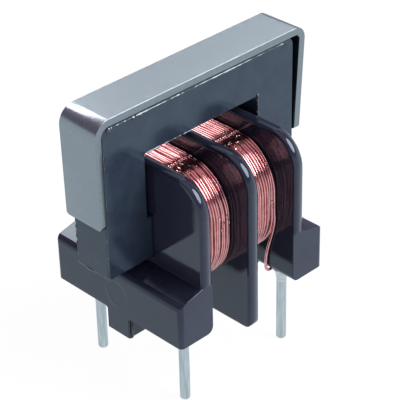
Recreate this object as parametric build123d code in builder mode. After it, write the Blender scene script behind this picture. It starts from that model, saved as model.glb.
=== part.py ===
from build123d import *
import math
import os

# Common mode choke on a U core: two windings side by side on one moulded bobbin.
# The origin is at the middle of the pin pattern, on the plane where the choke seats on its board.
# X runs along the core, Y from front to back and Z up. Millimetres.

os.makedirs("parts", exist_ok=True)

# Ferrite core: two U halves that meet at X = 0.
core_half_length = 7.26
core_limb = 2.7  # height of the upper and the lower limb
core_yoke = 2.94  # width of the limb that closes each U
core_depth = 2.61
core_window_height = 4.06
core_floor = 4.98  # underside of the core over the board
core_corner_round = 0.5  # upper outer corners, which the clip bends round
core_toe_round = 0.12  # lower outer corners
core_yoke_round = 0.17  # the yoke's upright edges, seen from above

# Bobbin: square tube, three flanges, and a foot outside each end flange.
bore_clearance = 0.1
tube_wall = 0.65
flange_half_depth = 5.13
flange_top = 10.8
flange_corner_radius = 2.0
flange_rim_chamfer = 0.1
bobbin_end_gap = 0.3  # from an end flange to the core's yoke
end_flange_thickness = 0.8
middle_flange_thickness = 0.84
middle_flange_toe_round = 0.4
foot_half_length = 5.69
foot_underside = 1.4
foot_top_at_flange = 4.63
foot_top_at_edge = 4.31
foot_edge_bevel = 0.31  # how far in from its end a foot's top turns down
foot_edge_drop = 0.26  # how far it falls over that length
foot_edge_round = 0.5
foot_upright_round = 0.3
foot_inner_round = 0.45  # the lower edge that the leads bend round
standoff_half_width = 0.85
standoff_length = 1.6
standoff_root_round = 0.25
crush_rib_radius = 0.2
crush_rib_proud = 0.08

# Pins: round tinned wire, pushed into blind holes in the feet.
pin_diameter = 0.6
pin_tin_coat = 0.01  # what the solder dip adds all round, below the joint
pin_inset = 0.78  # from an end flange's inner face to the middle of the pin under it
pin_pitch_y = 7.0
pin_reach = 3.68  # length below the seating plane
pin_embedment = 2.4  # length inside the foot
pin_hole_clearance = 0.01
pin_tip_chamfer = 0.14

# Windings: enamelled wire, wound in layers between two flanges.
wire_diameter = 0.18
turn_crown = 0.06  # height of a turn of the outer layer over the grooves beside it
winding_build_side = 1.7
winding_build_top = 1.39
winding_build_bottom = 1.87
winding_upper_radius = 2.75
winding_lower_radius = 3.3
winding_band = 0.3  # depth of the outer layer that carries the turns

# Leads: each winding's two ends run down inside the end flange and under the foot to a pin.
lead_gap = 0.03  # between a lead and the flange, the foot or the pin beside it
lead_exit_height = 5.4  # where it leaves the pack
lead_bury_rise = 1.5  # how much higher its hidden start lies
lead_hang_height = 2.4  # below this it hangs straight down
lead_bend_slant = 45  # degrees of the short length that takes a lead round the foot's edge

# Solder: the fillet that the dipped joint leaves round each pin's root.
solder_length = 0.9
solder_root_radius = 0.55

# Spring clip: one bent strap over the top and down both ends of the core.
clip_thickness = 0.45
clip_width = 2.81
clip_gap_left = 0.08  # how far the leg stands off the core at the top
clip_gap_right = 0.42
clip_bend_right = 0.34  # inside radius of the bend over the right leg
clip_leg_bottom = 8.4
clip_end_round = 0.2

# Places that follow from the sizes above.
limb_top = core_floor + core_limb
window_top = limb_top + core_window_height
core_top = window_top + core_limb
limb_middle = core_floor + core_limb / 2
bore_depth = core_depth + bore_clearance * 2
bore_height = core_limb + bore_clearance * 2
tube_depth = bore_depth + tube_wall * 2
tube_height = bore_height + tube_wall * 2
end_flange_outer = core_half_length - core_yoke - bobbin_end_gap
end_flange_inner = end_flange_outer - end_flange_thickness
pin_pitch_x = (end_flange_inner + pin_inset) * 2
pin_shank_radius = pin_diameter / 2 - pin_tin_coat
middle_flange_face = middle_flange_thickness / 2
clip_lean = math.atan(clip_gap_left / (core_top - clip_leg_bottom))
# The left bend's inside radius, at which it starts where the core's round corner does.
clip_bend_left = (core_corner_round + clip_gap_left) * math.tan(math.radians(45) - clip_lean / 2)
winding_slot = end_flange_inner - middle_flange_face
turn_count = int(winding_slot / wire_diameter)
winding_width = turn_count * wire_diameter
winding_inner = middle_flange_face + (winding_slot - winding_width) / 2
winding_half_depth = tube_depth / 2 + winding_build_side
winding_top = limb_middle + tube_height / 2 + winding_build_top
winding_bottom = limb_middle - tube_height / 2 - winding_build_bottom
bend_cut = 1 - math.tan(math.radians(lead_bend_slant / 2))
sides = {"left": -1, "right": 1}
rows = {"front": -1, "back": 1}

# Core: each half is a U lying on its side, with its open end at the middle of the choke.
for side, sign in sides.items():
    with BuildPart() as core_half:
        with BuildSketch(Plane.XY.offset(core_floor)) as core_plan:
            with Locations((sign * core_half_length / 2, 0)):
                Rectangle(core_half_length, core_depth)
            fillet(core_plan.vertices().sort_by(Axis.X, reverse=sign > 0)[:2], core_yoke_round)
        extrude(amount=core_top - core_floor)
        with BuildSketch(Plane.XZ):
            with BuildLine():
                FilletPolyline(
                    (0, core_floor),
                    (sign * core_half_length, core_floor),
                    (sign * core_half_length, core_top),
                    (0, core_top),
                    (0, window_top),
                    (sign * (core_half_length - core_yoke), window_top),
                    (sign * (core_half_length - core_yoke), limb_top),
                    (0, limb_top),
                    radius=[0, core_toe_round, core_corner_round, 0, 0, 0, 0, 0],
                    close=True,
                )
            make_face()
        extrude(amount=core_depth / 2, both=True, mode=Mode.INTERSECT)
    core_half.part.label = f"core_half_{side}"
    export_step(core_half.part, f"parts/core_half_{side}.step")

# Feet of the bobbin: a bar outside each end flange.
with BuildPart() as feet:
    with BuildSketch(Plane.XY.offset(foot_underside)) as feet_plan:
        with GridLocations(foot_half_length + end_flange_inner, 0, 2, 1):
            Rectangle(foot_half_length - end_flange_inner, flange_half_depth * 2)
        outer_corners = feet_plan.vertices().group_by(Axis.X)
        fillet(outer_corners[0] + outer_corners[-1], foot_upright_round)
    extrude(amount=foot_top_at_flange - foot_underside)

    # Each foot's top falls away towards the end, more steeply at its edge.
    with BuildSketch(Plane.XZ):
        for sign in sides.values():
            with BuildLine():
                FilletPolyline(
                    (sign * end_flange_inner, foot_underside),
                    (sign * foot_half_length, foot_underside),
                    (sign * foot_half_length, foot_top_at_edge - foot_edge_drop),
                    (sign * (foot_half_length - foot_edge_bevel), foot_top_at_edge),
                    (sign * end_flange_outer, foot_top_at_flange),
                    (sign * end_flange_inner, foot_top_at_flange),
                    radius=[foot_inner_round, 0, foot_edge_round, 0, 0, 0],
                    close=True,
                )
            make_face()
    extrude(amount=flange_half_depth, both=True, mode=Mode.INTERSECT)

    # Stand-offs, flared where they join the feet.
    for sign in sides.values():
        with BuildSketch(Plane.YZ.offset(sign * foot_half_length)) as standoff_outline:
            Rectangle(standoff_half_width * 2, foot_underside, align=(Align.CENTER, Align.MIN))
            with Locations((0, foot_underside)):
                Rectangle(
                    standoff_half_width * 4,
                    (foot_top_at_edge - foot_underside) / 2,
                    align=(Align.CENTER, Align.MIN),
                )
            inner_corners = standoff_outline.vertices().group_by(Axis.Y)[1].sort_by(Axis.X)[1:3]
            fillet(inner_corners, standoff_root_round)
        extrude(amount=-sign * standoff_length)

    # Half-round crush ribs on the front and back of the stand-offs.
    with BuildSketch(Plane.XY):
        rib_x = foot_half_length - crush_rib_radius
        rib_y = standoff_half_width + crush_rib_proud - crush_rib_radius
        with GridLocations(rib_x * 2, rib_y * 2, 2, 2):
            Circle(crush_rib_radius)
    extrude(amount=foot_underside)

# Bobbin: one moulding.
with BuildPart() as bobbin:
    # End flanges, flat sided with a round shoulder at each upper corner.
    flange_root = (foot_underside + foot_top_at_flange) / 2
    for place in (-end_flange_outer, end_flange_inner):
        with BuildSketch(Plane.YZ.offset(place)) as end_outline:
            with Locations((0, flange_root)):
                Rectangle(
                    flange_half_depth * 2,
                    flange_top - flange_root,
                    align=(Align.CENTER, Align.MIN),
                )
            fillet(end_outline.vertices().group_by(Axis.Y)[-1], flange_corner_radius)
        extrude(amount=end_flange_thickness)

    # Middle flange, which reaches down to the board.
    with BuildSketch(Plane.YZ.offset(-middle_flange_face)) as middle_outline:
        Rectangle(flange_half_depth * 2, flange_top, align=(Align.CENTER, Align.MIN))
        fillet(middle_outline.vertices().group_by(Axis.Y)[-1], flange_corner_radius)
        fillet(middle_outline.vertices().group_by(Axis.Y)[0], middle_flange_toe_round)
    extrude(amount=middle_flange_thickness)

    # Rims, broken all the way round except along the bottom.
    rim_edges = bobbin.faces().filter_by(Axis.X).edges()
    chamfer(rim_edges.filter_by(lambda edge: edge.center().Z > flange_root), flange_rim_chamfer)

    # Tube round the core's lower limb.
    with BuildSketch(Plane.YZ.offset(-end_flange_outer)):
        with Locations((0, limb_middle)):
            Rectangle(tube_depth, tube_height)
    extrude(amount=end_flange_outer * 2)

    add(feet.part)

    # Bore for the lower limb, and blind holes for the pins.
    with BuildSketch(Plane.YZ.offset(-end_flange_outer)):
        with Locations((0, limb_middle)):
            Rectangle(bore_depth, bore_height)
    extrude(amount=end_flange_outer * 2, mode=Mode.SUBTRACT)
    with BuildSketch(Plane.XY.offset(foot_underside)):
        with GridLocations(pin_pitch_x, pin_pitch_y, 2, 2):
            Circle(pin_shank_radius + pin_hole_clearance)
    extrude(amount=pin_embedment, mode=Mode.SUBTRACT)
bobbin.part.label = "bobbin"
export_step(bobbin.part, "parts/bobbin.step")

# Pins and the solder round their roots, one of each at every corner.
joints = {side: [] for side in sides}
for side, sign in sides.items():
    for row_name, row in rows.items():
        pin_x, pin_y = sign * pin_pitch_x / 2, row * pin_pitch_y / 2
        solder_tip = foot_underside - solder_length
        with BuildPart() as pin:
            with BuildSketch(Plane.XY.offset(-pin_reach)):
                with Locations((pin_x, pin_y)):
                    Circle(pin_diameter / 2)
            extrude(amount=pin_reach + solder_tip)
            chamfer(pin.edges().sort_by(Axis.Z)[0], pin_tip_chamfer)
            with BuildSketch(Plane.XY.offset(solder_tip)):
                with Locations((pin_x, pin_y)):
                    Circle(pin_shank_radius)
            extrude(amount=solder_length + pin_embedment)
        pin.part.label = f"pin_{row_name}_{side}"
        export_step(pin.part, f"parts/pin_{row_name}_{side}.step")

        with BuildPart() as solder:
            with BuildSketch(Plane.XZ.offset(-pin_y)):
                with BuildLine():
                    Polyline(
                        (pin_x + pin_shank_radius, solder_tip),
                        (pin_x + pin_diameter / 2, solder_tip),
                        (pin_x + solder_root_radius, foot_underside),
                        (pin_x + pin_shank_radius, foot_underside),
                        close=True,
                    )
                make_face()
            revolve(axis=Axis((pin_x, pin_y, 0), (0, 0, 1)))
        joints[side].append(solder.part)
        solder.part.label = f"solder_{row_name}_{side}"
        export_step(solder.part, f"parts/solder_{row_name}_{side}.step")

# Windings: each is one solid, the pack of turns with its outer layer in relief and its two leads.
for side, sign in sides.items():
    pack_start = winding_inner if sign > 0 else -winding_inner - winding_width
    pack_plane = Plane.YZ.offset(pack_start)
    with BuildPart() as winding:
        # Once round the outer layer, from the middle of its top.
        with BuildLine() as round_pack:
            upper_y = winding_half_depth - winding_upper_radius
            upper_z = winding_top - winding_upper_radius
            lower_y = winding_half_depth - winding_lower_radius
            lower_z = winding_bottom + winding_lower_radius
            Line((0, winding_top), (upper_y, winding_top))
            CenterArc((upper_y, upper_z), winding_upper_radius, 90, -90)
            Line((winding_half_depth, upper_z), (winding_half_depth, lower_z))
            CenterArc((lower_y, lower_z), winding_lower_radius, 0, -90)
            Line((lower_y, winding_bottom), (-lower_y, winding_bottom))
            CenterArc((-lower_y, lower_z), winding_lower_radius, -90, -90)
            Line((-winding_half_depth, lower_z), (-winding_half_depth, upper_z))
            CenterArc((-upper_y, upper_z), winding_upper_radius, 180, -90)
            Line((-upper_y, winding_top), (0, winding_top))
        with BuildSketch(pack_plane):
            make_face(round_pack.edges())
            offset(amount=-winding_band / 2, mode=Mode.REPLACE)
        extrude(amount=winding_width)
        with BuildSketch(Plane.XZ):
            with BuildLine():
                for turn in range(turn_count):
                    turn_start = pack_start + turn * wire_diameter
                    Polyline(
                        (turn_start, winding_top),
                        (turn_start + wire_diameter / 2, winding_top + turn_crown),
                        (turn_start + wire_diameter, winding_top),
                    )
                Polyline(
                    (pack_start + winding_width, winding_top),
                    (pack_start + winding_width, winding_top - winding_band),
                    (pack_start, winding_top - winding_band),
                    (pack_start, winding_top),
                )
            make_face()
        sweep(path=pack_plane.from_local_coords(round_pack.wire()))

        # Leads, at the front and the back.
        lead_x = sign * (end_flange_inner - lead_gap - wire_diameter / 2)
        lead_z = foot_underside - lead_gap - wire_diameter / 2
        lead_y = (pin_pitch_y - pin_diameter - wire_diameter) / 2 - lead_gap
        lead_bend = foot_inner_round + lead_gap + wire_diameter / 2
        for row in rows.values():
            with BuildLine() as lead:
                Polyline(
                    (lead_x, row * (winding_half_depth - wire_diameter), lead_exit_height + lead_bury_rise),
                    (lead_x, row * (winding_half_depth + turn_crown), lead_exit_height),
                    (lead_x, row * lead_y, lead_hang_height),
                    (lead_x, row * lead_y, lead_z + lead_bend * bend_cut),
                    (lead_x + sign * lead_bend * bend_cut, row * lead_y, lead_z),
                    (sign * pin_pitch_x / 2, row * lead_y, lead_z),
                )
            with BuildSketch(Plane(origin=lead.line @ 0, z_dir=lead.line % 0)):
                Circle(wire_diameter / 2)
            sweep(path=lead.line, transition=Transition.RIGHT)

        # The tube that the turns are wound on.
        with BuildSketch(pack_plane):
            with Locations((0, limb_middle)):
                Rectangle(tube_depth, tube_height)
        extrude(amount=winding_width, mode=Mode.SUBTRACT)
        for joint in joints[side]:
            add(joint, mode=Mode.SUBTRACT)
    winding.part.label = f"winding_{side}"
    export_step(winding.part, f"parts/winding_{side}.step")

# Spring clip: the strap seen from the front, drawn along its inner face.
with BuildPart() as spring_clip:
    with BuildSketch(Plane.XZ):
        with BuildLine():
            FilletPolyline(
                (-core_half_length, clip_leg_bottom),
                (-core_half_length - clip_gap_left, core_top),
                (core_half_length + clip_gap_right, core_top),
                (core_half_length, clip_leg_bottom),
                radius=[clip_bend_left, clip_bend_right],
            )
            offset(amount=clip_thickness, side=Side.LEFT)
        make_face()
    extrude(amount=clip_width / 2, both=True)
    leg_ends = spring_clip.faces().sort_by(Axis.Z)[:2]
    leg_corners = [edge for end in leg_ends for edge in end.edges().sort_by(SortBy.LENGTH)[:2]]
    fillet(leg_corners, clip_end_round)
spring_clip.part.label = "spring_clip"
export_step(spring_clip.part, "parts/spring_clip.step")
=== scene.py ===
import math

import bmesh
import bpy
import numpy as np
from mathutils import Matrix


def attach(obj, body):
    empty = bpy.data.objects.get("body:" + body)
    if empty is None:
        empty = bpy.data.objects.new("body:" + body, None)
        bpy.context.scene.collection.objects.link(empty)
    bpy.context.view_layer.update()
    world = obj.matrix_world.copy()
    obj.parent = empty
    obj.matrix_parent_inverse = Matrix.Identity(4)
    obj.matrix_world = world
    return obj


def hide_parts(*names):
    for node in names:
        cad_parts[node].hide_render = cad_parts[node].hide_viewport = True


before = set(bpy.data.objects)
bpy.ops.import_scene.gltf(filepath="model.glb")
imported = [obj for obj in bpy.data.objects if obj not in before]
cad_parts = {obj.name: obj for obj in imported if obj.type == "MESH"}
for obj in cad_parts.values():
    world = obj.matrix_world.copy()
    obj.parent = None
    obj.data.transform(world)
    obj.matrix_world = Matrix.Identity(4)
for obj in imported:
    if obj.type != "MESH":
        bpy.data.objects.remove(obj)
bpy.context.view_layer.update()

# Stage. The choke stands on its pins on a white table, in a dark room with a low white wall and a lit panel.
# Three soft lamps hang over it on the right: a long one and a small one behind, a large oval one in front.
# Metres and degrees.
PIN_TIP, TABLE_REACH = -0.00368, 3.0
VIEW_AZIMUTH, VIEW_ELEVATION, VIEW_ROLL = -43.898, 32.31, -1.425
VIEW_TARGET, VIEW_DISTANCE = (0.000918, 0.0, 0.005869), 0.09599
LENS, SENSOR, NEAREST_SEEN = 151.41, 36.0, 0.005
LAMP_DISTANCE, LAMP_WHITE = 0.5, (0.96, 0.985, 1.0)
ROOM_DARK, ROOM_CORNER, ROOM_OVERHEAD = (0.27, 0.245, 0.33), (0.60, 0.42, 0.50), (0.80, 0.66, 0.74)
WALL_LIT, WALL_SHADED, PANEL_LIT = (0.84, 0.94, 1.0), (0.34, 0.37, 0.42), (1.4, 1.56, 1.62)
PAPER_WHITE, GLOW_SHARE = (0.93, 0.93, 0.93), 0.955
GLOW_SEEN, GLOW_MIRRORED = (1.0, 1.0, 1.0), (0.84, 0.94, 1.0)


def camera_axes(azimuth, elevation, roll):
    """Right, up and back of a camera that looks at the choke from an azimuth and an elevation, then rolls."""
    a, e, r = np.radians([azimuth, elevation, roll])
    back = np.array([math.sin(a) * math.cos(e), -math.cos(a) * math.cos(e), math.sin(e)])
    right = np.array([math.cos(a), math.sin(a), 0.0])
    up = np.cross(back, right)
    return math.cos(r) * right + math.sin(r) * up, math.cos(r) * up - math.sin(r) * right, back


def put_up(thing, right, up, back, place):
    """Links a camera or a lamp, with its three axes and its place as the columns of its matrix."""
    matrix = np.eye(4)
    matrix[:3, :4] = np.stack([right, up, back, place], axis=1)
    thing.matrix_world = Matrix(matrix.tolist())
    bpy.context.scene.collection.objects.link(thing)


camera_data = bpy.data.cameras.new("view_camera")
camera_data.lens = LENS
camera_data.sensor_width = SENSOR
camera_data.clip_start = NEAREST_SEEN
camera = bpy.data.objects.new("view_camera", camera_data)
camera_right, camera_up, camera_back = camera_axes(VIEW_AZIMUTH, VIEW_ELEVATION, VIEW_ROLL)
put_up(camera, camera_right, camera_up, camera_back, np.array(VIEW_TARGET) + VIEW_DISTANCE * camera_back)
bpy.context.scene.camera = camera
bpy.context.scene.view_settings.view_transform = "Standard"


def soft_lamp(name, shape, towards, width, height, power):
    """A rectangle or an ellipse of light in a direction from the choke, level across and facing it."""
    back = np.array(towards, float) / np.linalg.norm(towards)
    across = np.cross((0.0, 0.0, 1.0), back)
    across /= np.linalg.norm(across)
    data = bpy.data.lights.new(name, "AREA")
    data.shape = shape
    data.size = width
    data.size_y = height
    data.energy = power
    data.color = LAMP_WHITE
    put_up(bpy.data.objects.new(name, data), across, np.cross(back, across), back, back * LAMP_DISTANCE)


soft_lamp("lamp_behind", "RECTANGLE", (0.22, 0.71, 0.67), 0.27, 0.15, 0.9)
soft_lamp("lamp_small", "ELLIPSE", (0.59, 0.45, 0.68), 0.12, 0.12, 0.3)
soft_lamp("lamp_front", "ELLIPSE", (0.43, -0.61, 0.67), 0.46, 0.38, 4.2)


def calculated(nodes, links, operation, first, second=0.0):
    """One step of arithmetic on node values or plain numbers."""
    step = nodes.new("ShaderNodeMath")
    step.operation = operation
    for socket, value in zip(step.inputs, (first, second)):
        if isinstance(value, (int, float)):
            socket.default_value = value
        else:
            links.new(value, socket)
    return step.outputs[0]


def mixed_color(nodes, links, amount, first, second):
    """A colour between two, by an amount from another node; each is a plain colour or a node's result."""
    mix = nodes.new("ShaderNodeMix")
    mix.data_type = "RGBA"
    links.new(amount, mix.inputs["Factor"])
    for socket, color in ((mix.inputs["A"], first), (mix.inputs["B"], second)):
        if isinstance(color, tuple):
            socket.default_value = (*color, 1.0)
        else:
            links.new(color, socket)
    return mix.outputs["Result"]


def patch_share(nodes, links, split, edges):
    """How far a direction lies in a patch: a ramp from dark to light on each edge's axis, all multiplied."""
    share = 1.0
    for axis, dark, light in edges:
        ramp = nodes.new("ShaderNodeMapRange")
        ramp.inputs["From Min"].default_value = dark
        ramp.inputs["From Max"].default_value = light
        links.new(split.outputs[axis], ramp.inputs["Value"])
        share = calculated(nodes, links, "MULTIPLY", ramp.outputs[0], share)
    return share


world = bpy.data.worlds.new("studio")
bpy.context.scene.world = world
world.use_nodes = True
nodes, links = world.node_tree.nodes, world.node_tree.links
nodes.clear()
direction = nodes.new("ShaderNodeTexCoord")
split = nodes.new("ShaderNodeSeparateXYZ")
links.new(direction.outputs["Generated"], split.inputs[0])
wall_shade = patch_share(nodes, links, split, [("X", 0.3, 0.5), ("Y", 0.2, 0.4)])
wall = mixed_color(nodes, links, wall_shade, WALL_LIT, WALL_SHADED)
room = ROOM_DARK
# Each patch's colour and its soft edges: an axis, and where on it the patch begins and is full.
for patch_color, edges in (
    (ROOM_CORNER, [("X", 0.05, -0.15), ("Z", 0.5, 0.65), ("Y", 0.62, 0.66)]),
    (ROOM_OVERHEAD, [("X", 0.5, 0.3), ("Z", 0.78, 0.86)]),
    (wall, [("Z", 0.22, 0.12)]),
    (PANEL_LIT, [("Z", 0.5, 0.475), ("X", 0.2, 0.35), ("Y", 0.1, 0.3), ("Z", 0.33, 0.4)]),
):
    room = mixed_color(nodes, links, patch_share(nodes, links, split, edges), room, patch_color)
room_light = nodes.new("ShaderNodeBackground")
links.new(room, room_light.inputs["Color"])
world_output = nodes.new("ShaderNodeOutputWorld")
links.new(room_light.outputs[0], world_output.inputs["Surface"])


def new_material(name):
    """An empty node material, with its nodes and its links."""
    material = bpy.data.materials.new(name)
    material.use_nodes = True
    material.node_tree.nodes.clear()
    return material, material.node_tree.nodes, material.node_tree.links


def to_surface(nodes, links, shader):
    """A shader's result put on the material's surface."""
    output = nodes.new("ShaderNodeOutputMaterial")
    links.new(shader.outputs[0], output.inputs["Surface"])


table_white, nodes, links = new_material("white_table")
paper = nodes.new("ShaderNodeBsdfDiffuse")
paper.inputs["Color"].default_value = (*PAPER_WHITE, 1.0)
glow = nodes.new("ShaderNodeEmission")
ray = nodes.new("ShaderNodeLightPath")
from_camera = ray.outputs["Is Camera Ray"]
links.new(mixed_color(nodes, links, from_camera, GLOW_MIRRORED, GLOW_SEEN), glow.inputs["Color"])
seen = calculated(nodes, links, "MAXIMUM", from_camera, ray.outputs["Is Glossy Ray"])
paper_and_glow = nodes.new("ShaderNodeMixShader")
links.new(calculated(nodes, links, "MULTIPLY", seen, GLOW_SHARE), paper_and_glow.inputs[0])
links.new(paper.outputs[0], paper_and_glow.inputs[1])
links.new(glow.outputs[0], paper_and_glow.inputs[2])
to_surface(nodes, links, paper_and_glow)

table_mesh = bpy.data.meshes.new("table")
table_signs = ((-1, -1), (1, -1), (1, 1), (-1, 1))
table_corners = [(x * TABLE_REACH, y * TABLE_REACH, PIN_TIP) for x, y in table_signs]
table_mesh.from_pydata(table_corners, [], [(0, 1, 2, 3)])
table_mesh.materials.append(table_white)
table = bpy.data.objects.new("table", table_mesh)
bpy.context.scene.collection.objects.link(table)

# Bobbin. One black glass-filled moulding: a square tube with three flanges, and a foot with a stand-off
# under each end flange. Its edges leave the mould slightly round and its faces glossy with a faint ripple,
# and an ejector has left a ring on the left foot's end. Metres and degrees.
MERGE_DISTANCE, FLAT_ANGLE = 2e-7, 1.0
EDGE_ROUND, EDGE_STEPS, EDGE_ANGLE = 0.00005, 3, 28
# The middle and the half thickness along X of the middle flange and of an end flange.
FLANGES = ((0.0, 0.00042), (0.00362, 0.0004))
FOOT_TOP, FOOT_END, CROWN_HEIGHT = 0.00465, -0.0056, 0.00015
RING_Z, RING_RADIUS, RING_HALF_LINE, RING_HEIGHT = 0.0027, 0.000875, 0.00007, 0.000012
# Nearly all of a noise node's values lie between these two.
NOISE_FROM, NOISE_TO = 0.3, 0.7


def merged_solid(node, name):
    """A copy of a solid's mesh, its doubles merged and its flat faces joined, so its edges can be rounded."""
    shell = bmesh.new()
    shell.from_mesh(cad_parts[node].data)
    bmesh.ops.remove_doubles(shell, verts=shell.verts, dist=MERGE_DISTANCE)
    flat = math.radians(FLAT_ANGLE)
    bmesh.ops.dissolve_limit(shell, angle_limit=flat, verts=shell.verts, edges=shell.edges)
    mesh = bpy.data.meshes.new(name)
    shell.to_mesh(mesh)
    shell.free()
    piece = bpy.data.objects.new(name, mesh)
    bpy.context.scene.collection.objects.link(piece)
    return piece


def keep_flats_flat(piece):
    """Normals weighted by face area, so a flat doesn't shade towards the small rounding beside it."""
    weigh = piece.modifiers.new("flats", "WEIGHTED_NORMAL")
    weigh.mode = "FACE_AREA"
    weigh.weight = 100
    weigh.keep_sharp = True


def noise_value(nodes, links, size, low, high, stretch=(1.0, 1.0, 1.0), detail=3.0):
    """Noise on the piece's own coordinates with features of a size in metres, brought between two values."""
    place = nodes.new("ShaderNodeTexCoord")
    scale = nodes.new("ShaderNodeMapping")
    scale.inputs["Scale"].default_value = [part / size for part in stretch]
    links.new(place.outputs["Object"], scale.inputs["Vector"])
    noise = nodes.new("ShaderNodeTexNoise")
    noise.inputs["Scale"].default_value = 1.0
    noise.inputs["Detail"].default_value = detail
    links.new(scale.outputs[0], noise.inputs["Vector"])
    spread = nodes.new("ShaderNodeMapRange")
    spread.clamp = False
    spread.inputs["From Min"].default_value = NOISE_FROM
    spread.inputs["From Max"].default_value = NOISE_TO
    spread.inputs["To Min"].default_value = low
    spread.inputs["To Max"].default_value = high
    links.new(noise.outputs[0], spread.inputs["Value"])
    return spread.outputs[0]


def raised(nodes, links, height, depth, under=None):
    """The normal of a surface whose height comes from another node, with its depth in metres."""
    bump = nodes.new("ShaderNodeBump")
    bump.inputs["Distance"].default_value = depth
    links.new(height, bump.inputs["Height"])
    if under is not None:
        links.new(under, bump.inputs["Normal"])
    return bump.outputs[0]


def piece_axes(nodes, links):
    """X, Y and Z of the piece's own coordinates, as three node values."""
    place = nodes.new("ShaderNodeTexCoord")
    split = nodes.new("ShaderNodeSeparateXYZ")
    links.new(place.outputs["Object"], split.inputs[0])
    return split.outputs["X"], split.outputs["Y"], split.outputs["Z"]


def crown(nodes, links):
    """A round height over each flange: one less the square of the way out from its middle."""
    x, _, z = piece_axes(nodes, links)
    across = calculated(nodes, links, "ABSOLUTE", x)
    heights = []
    for middle, half in FLANGES:
        way = calculated(nodes, links, "DIVIDE", calculated(nodes, links, "SUBTRACT", across, middle), half)
        fall = calculated(nodes, links, "SUBTRACT", 1.0, calculated(nodes, links, "MULTIPLY", way, way))
        heights.append(calculated(nodes, links, "MAXIMUM", fall, 0.0))
    over_foot = calculated(nodes, links, "GREATER_THAN", z, FOOT_TOP)
    heights[1] = calculated(nodes, links, "MULTIPLY", heights[1], over_foot)
    return calculated(nodes, links, "ADD", heights[0], heights[1])


def ejector_ring(nodes, links):
    """Height on the left foot's end: one on a circle about the ejector's place, nought a little beside it."""
    x, y, z = piece_axes(nodes, links)
    up = calculated(nodes, links, "SUBTRACT", z, RING_Z)
    squares = calculated(nodes, links, "MULTIPLY", y, y)
    squares = calculated(nodes, links, "ADD", squares, calculated(nodes, links, "MULTIPLY", up, up))
    from_middle = calculated(nodes, links, "SQRT", squares)
    from_ring = calculated(nodes, links, "SUBTRACT", from_middle, RING_RADIUS)
    fall = calculated(nodes, links, "DIVIDE", calculated(nodes, links, "ABSOLUTE", from_ring), RING_HALF_LINE)
    mark = calculated(nodes, links, "MAXIMUM", calculated(nodes, links, "SUBTRACT", 1.0, fall), 0.0)
    at_end = calculated(nodes, links, "LESS_THAN", x, FOOT_END)
    return calculated(nodes, links, "MULTIPLY", mark, at_end)


moulded_black, nodes, links = new_material("moulded_black")
plastic = nodes.new("ShaderNodeBsdfPrincipled")
plastic.inputs["IOR"].default_value = 1.52
plastic.inputs["Specular Tint"].default_value = (0.72, 0.85, 0.98, 1.0)
cloud = noise_value(nodes, links, 0.0015, 0.0, 1.0)
black = mixed_color(nodes, links, cloud, (0.011, 0.012, 0.022), (0.016, 0.0165, 0.030))
links.new(black, plastic.inputs["Base Color"])
links.new(noise_value(nodes, links, 0.0009, 0.04, 0.1), plastic.inputs["Roughness"])
relief = raised(nodes, links, crown(nodes, links), CROWN_HEIGHT)
relief = raised(nodes, links, ejector_ring(nodes, links), RING_HEIGHT, relief)
relief = raised(nodes, links, noise_value(nodes, links, 0.0022, 0.0, 1.0, detail=1.0), 0.000003, relief)
relief = raised(nodes, links, noise_value(nodes, links, 0.00012, 0.0, 1.0), 0.0000012, relief)
links.new(relief, plastic.inputs["Normal"])
to_surface(nodes, links, plastic)

bobbin = merged_solid("bobbin", "bobbin_moulding")
rounding = bobbin.modifiers.new("round_edges", "BEVEL")
rounding.width = EDGE_ROUND
rounding.segments = EDGE_STEPS
rounding.limit_method = "ANGLE"
rounding.angle_limit = math.radians(EDGE_ANGLE)
rounding.use_clamp_overlap = False
bobbin.data.shade_smooth()
keep_flats_flat(bobbin)
bobbin.data.materials.append(moulded_black)
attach(bobbin, "root")
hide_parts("bobbin")

# Pins. Four lengths of hot-tinned wire, pushed into the feet, with tips that the cutter left slightly round.
# The tin is satin, and drawn and wiped along the pin. Shapes are in millimetres from here on.
MM = 0.001
PIN_RADIUS, PIN_LOW, PIN_HIGH, PIN_ROUND = 0.3, -3.68, 3.78, 0.16
PIN_X, PIN_Y = 4.0, 3.5


def grid_faces(rows, columns, round_rows=False, round_columns=False):
    """Quads between neighbouring points of a grid, joined round where a direction closes on itself."""
    row, column = np.meshgrid(
        np.arange(rows if round_rows else rows - 1),
        np.arange(columns if round_columns else columns - 1),
        indexing="ij",
    )
    next_row, next_column = (row + 1) % rows, (column + 1) % columns
    corners = [row * columns + column, next_row * columns + column]
    corners += [next_row * columns + next_column, row * columns + next_column]
    return np.stack(corners, axis=-1).reshape(-1, 4)


def make_piece(name, shells, material):
    """One object of several shells (points in mm, faces), with doubles merged and faces turned outwards.
    It rides the root body."""
    points, faces, count = [], [], 0
    for shell_points, shell_faces in shells:
        points.append(shell_points.reshape(-1, 3))
        faces.append(shell_faces + count)
        count += len(points[-1])
    mesh = bpy.data.meshes.new(name)
    mesh.from_pydata(np.concatenate(points) * MM, [], np.concatenate(faces))
    mesh.validate()
    shell = bmesh.new()
    shell.from_mesh(mesh)
    bmesh.ops.remove_doubles(shell, verts=shell.verts, dist=1e-8)
    bmesh.ops.dissolve_degenerate(shell, edges=shell.edges, dist=1e-9)
    bmesh.ops.recalc_face_normals(shell, faces=shell.faces)
    shell.to_mesh(mesh)
    shell.free()
    mesh.shade_smooth()
    mesh.materials.append(material)
    piece = bpy.data.objects.new(name, mesh)
    bpy.context.scene.collection.objects.link(piece)
    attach(piece, "root")
    return piece


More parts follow.
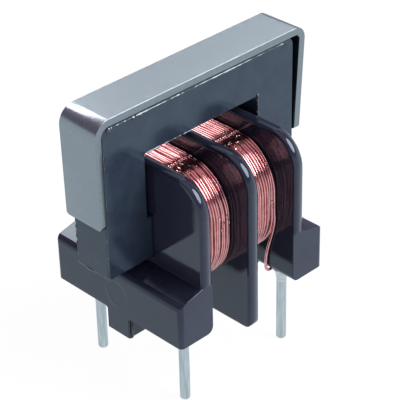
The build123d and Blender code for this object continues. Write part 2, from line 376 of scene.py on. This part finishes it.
def turned(profile, middle, sides=40):
    """A profile of (radius, height) points turned round an upright axis at a middle (x, y)."""
    angle = np.linspace(0, 2 * math.pi, sides, endpoint=False)
    radius, height = np.array(profile, float).T[:, :, None]
    x, y = middle[0] + radius * np.cos(angle), middle[1] + radius * np.sin(angle)
    return np.stack([x, y, height + 0 * angle], axis=-1), grid_faces(len(profile), sides, round_columns=True)


def steel_like(name, colors, roughness, grain, depth, stretch=(1.0, 1.0, 1.0)):
    """A bare metal whose colour, roughness and height follow a noise that can be drawn out one way.
    Its grain and depth are in metres."""
    material, nodes, links = new_material(name)
    metal = nodes.new("ShaderNodeBsdfPrincipled")
    metal.inputs["Metallic"].default_value = 1.0
    streak = noise_value(nodes, links, grain, 0.0, 1.0, stretch)
    links.new(mixed_color(nodes, links, streak, *colors), metal.inputs["Base Color"])
    links.new(noise_value(nodes, links, grain * 3, *roughness, stretch), metal.inputs["Roughness"])
    links.new(raised(nodes, links, streak, depth), metal.inputs["Normal"])
    to_surface(nodes, links, metal)
    return material


def at_each_pin():
    """For each pin its row and side as a name, and its middle (x, y)."""
    for row_name, row in (("front", -1), ("back", 1)):
        for side_name, side in (("left", -1), ("right", 1)):
            yield f"{row_name}_{side_name}", (side * PIN_X, row * PIN_Y)


tin_colors = ((0.36, 0.405, 0.42), (0.58, 0.62, 0.635))
tinned_wire = steel_like("tinned_wire", tin_colors, (0.22, 0.42), 0.00012, 0.000004, (1.0, 1.0, 0.08))
bend = np.linspace(-math.pi / 2, 0, 8)
tip_radius = PIN_RADIUS - PIN_ROUND + PIN_ROUND * np.cos(bend)
tip_height = PIN_LOW + PIN_ROUND * (1 + np.sin(bend))
shank_height = np.linspace(PIN_LOW + PIN_ROUND + 0.3, PIN_HIGH, 12)
pin_profile = [(0.0, PIN_LOW), *zip(tip_radius, tip_height)]
pin_profile += [(PIN_RADIUS, height) for height in shank_height] + [(0.0, PIN_HIGH)]
for pin_name, middle in at_each_pin():
    pin = make_piece(f"pin_wire_{pin_name}", [turned(pin_profile, middle)], tinned_wire)
    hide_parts(f"pin_{pin_name}")

# Windings. Enamelled copper wire in layers between two flanges, machine wound, so the outer layer's turns lie
# almost side by side, wander a little and cross here and there. Each end hangs down and runs to its pin.
WIRE = 0.18
COIL_INNER, COIL_OUTER = 0.45, 3.19
COIL_HALF_DEPTH, COIL_TOP, COIL_BOTTOM = 3.815, 9.88, 2.3
COIL_MIDDLE, COIL_MEAN_RADIUS = 6.33, 3.7
UPPER_ROUND, LOWER_ROUND = 2.81, 3.36
OUTER_TURNS, OUTER_DEPTH, OUTER_WANDER, OUTER_SEEDS = 15, 0.5 * WIRE, 0.022, {-1: 11, 1: 47}
INNER_TURNS, INNER_DEPTH, INNER_WANDER, INNER_SEEDS = 14, 1.35 * WIRE, 0.012, {-1: 211, 1: 247}
PACK_DEPTH = 1.9 * WIRE
LEAD_X, LEAD_Y, LEAD_LOW = 3.1, 3.1, 1.66
LEAD_TURN_OUT, LEAD_TURN_DOWN, LEAD_RUN = 0.36, 0.375, (3.55, 3.98)
# A front lead's points from the coil down to where it turns outwards.
LEAD_Y_DOWN = (-3.5, -3.73, -3.84, -3.7, -3.45, -3.2, -3.1, -LEAD_Y)
LEAD_Z_DOWN = (6.6, 5.9, 5.3, 4.56, 3.63, 2.86, 2.1, LEAD_LOW)


def round_corners(half, low, high, upper_round, lower_round, inset, count):
    """The corners of an upright rectangle as arcs, each a radius less an inset from its middle, anticlockwise
    from the upper right."""
    arcs = []
    for quarter, radius in enumerate((upper_round, upper_round, lower_round, lower_round)):
        across, up = (1, -1, -1, 1)[quarter], (1, 1, -1, -1)[quarter]
        middle = np.array([across * (half - radius), high - radius if up > 0 else low + radius])
        angle = np.linspace(0, math.pi / 2, count) + quarter * math.pi / 2
        arcs.append(middle + (radius - inset) * np.stack([np.cos(angle), np.sin(angle)], axis=1))
    return arcs


def coil_outline(share, inset):
    """Y and Z once round the coil by share of its length: a rectangle with round corners, rounder below."""
    arcs = round_corners(COIL_HALF_DEPTH, COIL_BOTTOM, COIL_TOP, UPPER_ROUND, LOWER_ROUND, inset, 60)
    y, z = np.concatenate([*arcs, arcs[0][:1]]).T
    length = np.concatenate([[0], np.cumsum(np.hypot(np.diff(y), np.diff(z)))])
    at = (share % 1.0) * length[-1]
    return np.interp(at, length, y), np.interp(at, length, z)


def carried(path, radius, reference, sides=10):
    """A circle carried along a path, square to it and turned from a reference line, with closed ends."""
    along = np.gradient(path, axis=0)
    along /= np.linalg.norm(along, axis=1, keepdims=True)
    across = np.cross(along, reference)
    across /= np.linalg.norm(across, axis=1, keepdims=True)
    other = np.cross(along, across)
    angle = np.linspace(0, 2 * math.pi, sides, endpoint=False)[None, :, None]
    ring = path[:, None] + radius * (np.cos(angle) * across[:, None] + np.sin(angle) * other[:, None])
    ends = np.repeat(path[[0, -1], None], sides, axis=1)
    points = np.concatenate([ends[:1], ring, ends[1:]])
    return points, grid_faces(len(points), sides, round_columns=True)


def smooth_waves(share, seed, amount, count=5):
    """A sum of a few sine waves round the coil, with seeded sizes and starts."""
    rng = np.random.default_rng(seed)
    wave = np.arange(1, count + 1)[:, None]
    size = rng.normal(0, amount, count)[:, None] / np.sqrt(wave)
    start = rng.uniform(0, 2 * math.pi, count)[:, None]
    return (size * np.sin(2 * math.pi * wave * share[None] + start)).sum(0)


def coil_layer(side, depth, turns, seed, wander):
    """One layer: turns with an even pitch between the flanges, each wandering along X and in and out."""
    shells = []
    share = np.linspace(0, 1, 150)
    pitch = (COIL_OUTER - COIL_INNER - WIRE) / (turns - 1)
    y, z = coil_outline(share + 0.25, depth)
    for turn in range(turns):
        x = COIL_INNER + WIRE / 2 + pitch * turn + smooth_waves(share, seed + turn, wander)
        x = np.clip(x, COIL_INNER + WIRE / 2, COIL_OUTER - WIRE / 2)
        lift = 1 + smooth_waves(share, seed + 100 + turn, wander * 0.8) / COIL_MEAN_RADIUS
        path = np.stack([side * x, y * lift, COIL_MIDDLE + (z - COIL_MIDDLE) * lift], axis=1)
        path[-1] = path[0]
        shells.append(carried(path, WIRE / 2, np.array([1.0, 0.0, 0.0])))
    return shells


def coil_core(side, inset):
    """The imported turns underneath, as one closed body with the coil's outline."""
    share = np.linspace(0, 1, 120, endpoint=False)
    y, z = coil_outline(share, inset)
    x = np.array([COIL_INNER, COIL_INNER, COIL_OUTER, COIL_OUTER])[:, None]
    full = np.array([0.0, 1.0, 1.0, 0.0])[:, None]
    points = np.stack([side * (x + 0 * share), full * y, COIL_MIDDLE + full * (z - COIL_MIDDLE)], axis=-1)
    return points, grid_faces(4, len(share), round_columns=True)


def lead(side, row):
    """A turn's end: it leaves the coil, hangs inside the flange, bends under the foot in a quarter turn and
    runs to its pin. The line through these points is smoothed by a running mean."""
    hang = np.stack([np.full(len(LEAD_Z_DOWN), LEAD_X), -row * np.array(LEAD_Y_DOWN), LEAD_Z_DOWN], axis=1)
    turn = np.linspace(0, math.pi / 2, 7)[1:]
    bend_x = LEAD_X + LEAD_TURN_OUT * (1 - np.cos(turn))
    bend_z = LEAD_LOW - LEAD_TURN_DOWN * np.sin(turn)
    bend = np.stack([bend_x, row * LEAD_Y + 0 * turn, bend_z], axis=1)
    run_x = np.linspace(*LEAD_RUN, 4)
    run = np.stack([run_x, row * LEAD_Y + 0 * run_x, LEAD_LOW - LEAD_TURN_DOWN + 0 * run_x], axis=1)
    knots = np.concatenate([hang, bend, run])
    share = np.linspace(0, len(knots) - 1, 90)
    path = np.stack([np.interp(share, np.arange(len(knots)), line) for line in knots.T], axis=1)
    reach = 4
    window = np.ones(2 * reach + 1) / (2 * reach + 1)
    padded = np.pad(path, ((reach, reach), (0, 0)), mode="edge")
    path = np.stack([np.convolve(line, window, mode="valid") for line in padded.T], axis=1)
    path[:, 0] *= side
    return carried(path, WIRE / 2, np.array([0.0, 1.0, 0.0]))


enamelled_copper, nodes, links = new_material("enamelled_copper")
copper = nodes.new("ShaderNodeBsdfPrincipled")
copper.inputs["Metallic"].default_value = 1.0
copper.inputs["Coat Weight"].default_value = 0.6
copper.inputs["Coat Roughness"].default_value = 0.03
shade = noise_value(nodes, links, 0.0004, 0.0, 1.0)
copper_color = mixed_color(nodes, links, shade, (0.64, 0.25, 0.25), (0.82, 0.37, 0.365))
links.new(copper_color, copper.inputs["Base Color"])
links.new(noise_value(nodes, links, 0.0005, 0.12, 0.2), copper.inputs["Roughness"])
dents = raised(nodes, links, noise_value(nodes, links, 0.0003, 0.0, 1.0), 0.000002)
links.new(dents, copper.inputs["Normal"])
to_surface(nodes, links, copper)

for side_name, side in (("left", -1), ("right", 1)):
    shells = coil_layer(side, OUTER_DEPTH, OUTER_TURNS, OUTER_SEEDS[side], OUTER_WANDER)
    shells += coil_layer(side, INNER_DEPTH, INNER_TURNS, INNER_SEEDS[side], INNER_WANDER)
    shells += [coil_core(side, PACK_DEPTH), lead(side, -1), lead(side, 1)]
    winding = make_piece(f"coil_{side_name}", shells, enamelled_copper)
    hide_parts(f"winding_{side_name}")

# Solder. The joint that the dip leaves where each lead meets its pin: a small hollow fillet under the foot.
# The tin has set dull and slightly lumpy.
SOLDER_LOW, SOLDER_HIGH, SOLDER_ROOT = 0.45, 1.4, 0.56
SOLDER_SKIN, SOLDER_SUNK, SOLDER_HOLLOW = 0.003, 0.02, 2.4
solder_colors = ((0.5, 0.52, 0.53), (0.68, 0.7, 0.71))
dull_solder = steel_like("dull_solder", solder_colors, (0.25, 0.4), 0.0003, 0.000006)
rise = np.linspace(0, 1, 14)
fillet_radius = PIN_RADIUS + SOLDER_SKIN + (SOLDER_ROOT - PIN_RADIUS) * rise**SOLDER_HOLLOW
fillet_height = SOLDER_LOW + (SOLDER_HIGH - SOLDER_LOW) * rise
solder_profile = [(PIN_RADIUS - SOLDER_SUNK, SOLDER_LOW), *zip(fillet_radius, fillet_height)]
solder_profile += [(PIN_RADIUS - SOLDER_SUNK, SOLDER_HIGH)]
for pin_name, middle in at_each_pin():
    joint = make_piece(f"solder_fillet_{pin_name}", [turned(solder_profile, middle)], dull_solder)
    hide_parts(f"solder_{pin_name}")

# Core. Two pressed ferrite U halves, closed on each other inside the bobbin and dipped in clear varnish, so
# the joints don't show. The upper corners are round under the clip, all the edges just broken by tumbling.
CORE_HALF, CORE_LOW, CORE_HIGH = 7.26, 4.98, 14.44
WINDOW_HALF, WINDOW_LOW, WINDOW_HIGH = 4.32, 7.68, 11.74
CORE_HALF_DEPTH, CORE_EDGE, WINDOW_EDGE = 1.305, 0.13, 0.05
CORE_ROUND, CORE_ROUND_BELOW, WINDOW_ROUND = 0.5, 0.12, 0.12


def loop_through(half, low, high, upper_round, lower_round, count=16):
    """An upright rectangle in X and Z with round corners: each corner's arc, then the straight side after it.
    Arcs and sides have set numbers of points, so two such loops match point by point."""
    arcs = round_corners(half, low, high, upper_round, lower_round, 0.0, count)
    straight = np.linspace(0, 1, count + 1)[1:-1, None]
    loop = []
    for quarter in range(4):
        end, start = arcs[quarter][-1], arcs[(quarter + 1) % 4][0]
        loop += [arcs[quarter], end + straight * (start - end)]
    return np.concatenate(loop)


def core_ring():
    """The ring's section carried round: from the rim over a quarter-round edge, across the face and over a
    smaller one into the window, in front and mirrored behind."""
    outer = loop_through(CORE_HALF, CORE_LOW, CORE_HIGH, CORE_ROUND, CORE_ROUND_BELOW)
    inner = loop_through(WINDOW_HALF, WINDOW_LOW, WINDOW_HIGH, WINDOW_ROUND, WINDOW_ROUND)
    inward = (inner - outer) / np.linalg.norm(inner - outer, axis=1, keepdims=True)
    turn = np.linspace(0, math.pi / 2, 7)
    half = []
    for loop, edge, sign, bend in ((outer, CORE_EDGE, 1, turn), (inner, WINDOW_EDGE, -1, turn[::-1])):
        shift = sign * edge * (1 - np.cos(bend))
        depth = CORE_HALF_DEPTH - edge * (1 - np.sin(bend))
        xz = loop[:, None] + shift[None, :, None] * inward[:, None]
        half.append(np.stack([xz[..., 0], 0 * xz[..., 0] - depth, xz[..., 1]], axis=-1))
    front = np.concatenate(half, axis=1)
    points = np.concatenate([front, front[:, ::-1] * np.array([1.0, -1.0, 1.0])], axis=1)
    return points, grid_faces(points.shape[0], points.shape[1], round_rows=True, round_columns=True)


varnished_ferrite, nodes, links = new_material("varnished_ferrite")
ferrite = nodes.new("ShaderNodeBsdfPrincipled")
ferrite.inputs["IOR"].default_value = 1.5
ferrite.inputs["Specular Tint"].default_value = (0.63, 0.76, 0.9, 1.0)
grain = noise_value(nodes, links, 0.0008, 0.0, 1.0, detail=6.0)
grey = mixed_color(nodes, links, grain, (0.014, 0.02, 0.032), (0.02, 0.029, 0.044))
links.new(grey, ferrite.inputs["Base Color"])
links.new(noise_value(nodes, links, 0.0012, 0.05, 0.1), ferrite.inputs["Roughness"])
flow = raised(nodes, links, noise_value(nodes, links, 0.0016, 0.0, 1.0, detail=2.0), 0.000006)
pores = raised(nodes, links, noise_value(nodes, links, 0.00009, 0.0, 1.0), 0.000002, flow)
links.new(pores, ferrite.inputs["Normal"])
to_surface(nodes, links, ferrite)

core = make_piece("core_varnished", [core_ring()], varnished_ferrite)
keep_flats_flat(core)
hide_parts("core_half_left", "core_half_right")

# Spring clip. A strap of satin spring steel, bent over the top and down both ends of the core. Its legs lean
# in to grip the yokes, the right one from further out. Its ends are clipped round, its edges sheared and
# slightly round.
STRAP, STRAP_HALF_WIDTH, STRAP_EDGE, STRAP_CORNER, LEG_LOW = 0.45, 1.405, 0.03, 0.2, 8.4
LEFT_OUT, LEFT_BEND, RIGHT_OUT, RIGHT_BEND = 0.08, 0.57, 0.42, 0.34


def strap_leg(top_out, bend):
    """Half the strap's middle line in X and Z: up a straight leg from its foot, with points closer together
    there, round an arc and along the top to its middle."""
    lean = math.atan(top_out / (CORE_HIGH - LEG_LOW))
    corner = np.array([CORE_HALF + top_out, CORE_HIGH])
    reach = bend / math.tan((math.pi / 2 - lean) / 2)
    centre = np.array([corner[0] - reach, CORE_HIGH - bend])
    turn = np.linspace(-lean, math.pi / 2, 20)
    arc = centre + (bend + STRAP / 2) * np.stack([np.cos(turn), np.sin(turn)], axis=1)
    foot = np.array([CORE_HALF, LEG_LOW]) + STRAP / 2 * np.array([math.cos(lean), -math.sin(lean)])
    leg = foot + np.linspace(0, 1, 40)[:-1, None] ** 1.6 * (arc[0] - foot)
    top = np.stack([np.linspace(arc[-1, 0], 0, 12)[1:], np.full(11, arc[-1, 1])], axis=1)
    return np.concatenate([leg, arc, top])


def strap_path():
    """The whole middle line: the left leg hugs the core and has the wider bend, the right one stands out."""
    left = strap_leg(LEFT_OUT, LEFT_BEND) * np.array([-1.0, 1.0])
    right = strap_leg(RIGHT_OUT, RIGHT_BEND)
    return np.concatenate([right, left[-2::-1]])


def strap():
    """A rectangle with round edges carried along the strap's path. Its width falls along a quarter circle at
    both ends, to round the corners."""
    path = strap_path()
    along = np.gradient(path, axis=0)
    along /= np.linalg.norm(along, axis=1, keepdims=True)
    outward = np.stack([along[:, 1], -along[:, 0]], axis=1)
    run = np.concatenate([[0], np.cumsum(np.linalg.norm(np.diff(path, axis=0), axis=1))])
    from_end = np.minimum(run, run[-1] - run)
    gone = np.clip(STRAP_CORNER - from_end, 0, STRAP_CORNER)
    width = STRAP_HALF_WIDTH - STRAP_CORNER + np.sqrt(STRAP_CORNER**2 - gone**2)
    turn = np.linspace(0, math.pi / 2, 5)
    quarter = STRAP_EDGE * np.stack([np.cos(turn), np.sin(turn)], axis=1)
    half_thick = STRAP / 2 - STRAP_EDGE
    section = []
    for sign_y, sign_t, flip in ((1, 1, 1), (-1, 1, -1), (-1, -1, 1), (1, -1, -1)):
        part = quarter[::flip] * [sign_y, sign_t]
        offset = part[:, 1] + sign_t * half_thick
        section.append(np.stack([part[:, 0], offset, np.full(len(part), sign_y)], axis=1))
    section = np.concatenate(section)
    y = section[None, :, 0] + section[None, :, 2] * (width[:, None] - STRAP_EDGE)
    xz = path[:, None] + section[None, :, 1, None] * outward[:, None]
    points = np.stack([xz[:, :, 0], y, xz[:, :, 1]], axis=-1)
    ends = points[[0, -1]] * [1.0, 0.0, 1.0]
    points = np.concatenate([ends[:1], points, ends[1:]])
    return points, grid_faces(points.shape[0], points.shape[1], round_columns=True)


satin_colors = ((0.235, 0.26, 0.28), (0.27, 0.3, 0.325))
satin_steel = steel_like("satin_steel", satin_colors, (0.21, 0.27), 0.00008, 0.0000015)
clip = make_piece("clip_strap", [strap()], satin_steel)
keep_flats_flat(clip)
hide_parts("spring_clip")

# Varnish. The clear dip that fixes the core, run into the corners and dried there as a thin uneven bead.
# It stands under the strap, down the left yoke's edge and round the window's top, and in drops on the turns.
CORE_BEADS = (
    # From (x, z) to (x, z), how far out in y, the way it faces in x and z, its radius and its seed.
    ((-6.9, 14.25), (-1.5, 14.25), 1.31, (0, 0.9), 0.11, 10),
    ((-2.0, 14.25), (6.9, 14.25), 1.31, (0, 0.9), 0.06, 14),
    ((-7.14, 8.2), (-7.14, 14.0), 1.3, (0.3, 0.2), 0.08, 20),
    ((-7.24, 5.05), (-7.24, 8.3), 1.28, (-1, 0.3), 0.05, 30),
    ((-4.28, 11.74), (-0.8, 11.74), 1.3, (0, 0.9), 0.05, 40),
    ((4.33, 10.5), (4.33, 11.9), 1.33, (0, 0.9), 0.1, 50),
)
CORNER_DROP, CORNER_DROP_SIZES = (-6.74, 1.32, 14.2), (0.2, 0.13, 0.17)
FOOT_BEAD_Z, FOOT_BEAD_HALF, FOOT_BEAD_RADIUS, FOOT_BEAD_SEED = 5.03, 1.25, 0.04, 60
BEAD_STEP, BEAD_THINNED, BEAD_END_GONE = 0.05, 0.6, 0.98
SWELL_MEAN, SWELL_AMOUNT, SWELL_LEAST, SWELL_MOST, SWELLS_PER_MM = 0.55, 0.45, 0.08, 1.5, 1.6
# Drops on the coils' upright sides by (x, z), and on their upper bends by (x, degrees from upright).
FRONT_DROPS = ((-1.3, 7.3), (-1.0, 6.95), (-0.75, 7.2), (-0.62, 6.8), (-1.1, 6.5), (2.85, 6.5), (2.95, 6.15))
BEND_DROPS = ((1.3, 14.0), (1.5, 19.0), (1.85, 22.0), (1.2, 24.0), (-2.2, 12.0), (-1.8, 20.0), (-2.5, 22.0))
SMALL_DROPS_A_SIDE = 16


def varnish_bead(start, end, facing, radius, seed):
    """An oval thread from point to point, thin the way it faces. It swells with smooth waves and closes at
    its ends, where its radius falls with the eighth power of the way out from its middle."""
    start, end = np.array(start, float), np.array(end, float)
    length = np.linalg.norm(end - start)
    along = (end - start) / length
    share = np.linspace(0, 1, int(length / BEAD_STEP))
    waves = smooth_waves(share, seed, SWELL_AMOUNT, int(length * SWELLS_PER_MM) + 4)
    swell = np.clip(SWELL_MEAN + waves, SWELL_LEAST, SWELL_MOST)
    size = radius * swell * np.sqrt(1 - (2 * share - 1) ** 8 * BEAD_END_GONE)
    across = np.cross(along, (0.3, 0.5, 0.8))
    across /= np.linalg.norm(across)
    sides = 12
    turn = np.linspace(0, 2 * math.pi, sides, endpoint=False)
    ring = np.cos(turn)[:, None] * across + np.sin(turn)[:, None] * np.cross(along, across)
    facing = np.array(facing, float) / np.linalg.norm(facing)
    ring -= BEAD_THINNED * (ring @ facing)[:, None] * facing
    path = start + share[:, None] * (end - start)
    ends = np.repeat(path[[0, -1], None], sides, axis=1)
    points = np.concatenate([ends[:1], path[:, None] + size[:, None, None] * ring, ends[1:]])
    return points, grid_faces(len(points), sides, round_columns=True)


def varnish_drop(middle, half_sizes):
    """An ellipsoid by its tilt and turn, half sunk in what it lies on."""
    tilt = np.linspace(-math.pi / 2, math.pi / 2, 13)[:, None]
    turn = np.linspace(0, 2 * math.pi, 16, endpoint=False)
    ball = [np.cos(tilt) * np.cos(turn), np.cos(tilt) * np.sin(turn), np.sin(tilt) + 0 * turn]
    points = np.array(middle) + np.stack(ball, axis=-1) * np.array(half_sizes)
    return points, grid_faces(len(tilt), len(turn), round_columns=True)


def on_bend(x, front, angle, proud):
    """A point on the coil's upper bend in front or behind, at an angle from upright, a little proud of it."""
    radius = UPPER_ROUND + proud
    y = COIL_HALF_DEPTH - UPPER_ROUND + radius * math.sin(angle)
    return x, front * y, COIL_TOP - UPPER_ROUND + radius * math.cos(angle)


pooled_varnish, nodes, links = new_material("pooled_varnish")
pool = nodes.new("ShaderNodeBsdfPrincipled")
pool.inputs["IOR"].default_value = 1.8
pool.inputs["Specular Tint"].default_value = (0.8, 0.92, 1.0, 1.0)
links.new(noise_value(nodes, links, 0.0004, 0.05, 0.12), pool.inputs["Roughness"])
amber = noise_value(nodes, links, 0.0008, 0.0, 1.0)
dark_pool = mixed_color(nodes, links, amber, (0.014, 0.02, 0.03), (0.03, 0.028, 0.036))
links.new(dark_pool, pool.inputs["Base Color"])
to_surface(nodes, links, pool)

beads = []
for face, front in ((1, -1), (2, 1)):
    for (x_from, z_from), (x_to, z_to), out, (face_x, face_z), radius, seed in CORE_BEADS:
        ends = (x_from, front * out, z_from), (x_to, front * out, z_to)
        beads.append(varnish_bead(*ends, (face_x, front, face_z), radius, seed + face))
    beads.append(varnish_drop(np.array(CORNER_DROP) * (1, front, 1), CORNER_DROP_SIZES))
for side in (-1, 1):
    ends = [(side * CORE_HALF, y, FOOT_BEAD_Z) for y in (-FOOT_BEAD_HALF, FOOT_BEAD_HALF)]
    beads.append(varnish_bead(*ends, (side, 0, -0.4), FOOT_BEAD_RADIUS, FOOT_BEAD_SEED + side))
make_piece("varnish_beads", beads, pooled_varnish)

clear_varnish, nodes, links = new_material("clear_varnish")
film = nodes.new("ShaderNodeBsdfPrincipled")
film.inputs["IOR"].default_value = 1.65
film.inputs["Transmission Weight"].default_value = 1.0
links.new(noise_value(nodes, links, 0.0003, 0.01, 0.06), film.inputs["Roughness"])
amber = noise_value(nodes, links, 0.0006, 0.0, 1.0)
clear_amber = mixed_color(nodes, links, amber, (0.9, 0.82, 0.76), (0.98, 0.96, 0.94))
links.new(clear_amber, film.inputs["Base Color"])
to_surface(nodes, links, film)

spots = np.random.default_rng(5)
drops = []
for x, z in FRONT_DROPS:
    for front in (-1, 1):
        half_sizes = spots.uniform(0.05, 0.09), 0.05, spots.uniform(0.08, 0.17)
        drops.append(varnish_drop((x, front * (COIL_HALF_DEPTH + 0.005), z), half_sizes))
for x, angle in BEND_DROPS:
    for front in (-1, 1):
        half_sizes = spots.uniform(0.06, 0.1), spots.uniform(0.08, 0.14), 0.05
        drops.append(varnish_drop(on_bend(x, front, math.radians(angle), 0.02), half_sizes))
for side in np.repeat((-1, 1), SMALL_DROPS_A_SIDE):
    x, angle = side * spots.uniform(0.6, 3.0), math.radians(spots.uniform(2.0, 27.0))
    for front in (-1, 1):
        half_sizes = spots.uniform(0.03, 0.07), spots.uniform(0.04, 0.12), 0.035
        drops.append(varnish_drop(on_bend(x, front, angle, 0.01), half_sizes))
make_piece("varnish_drops", drops, clear_varnish)
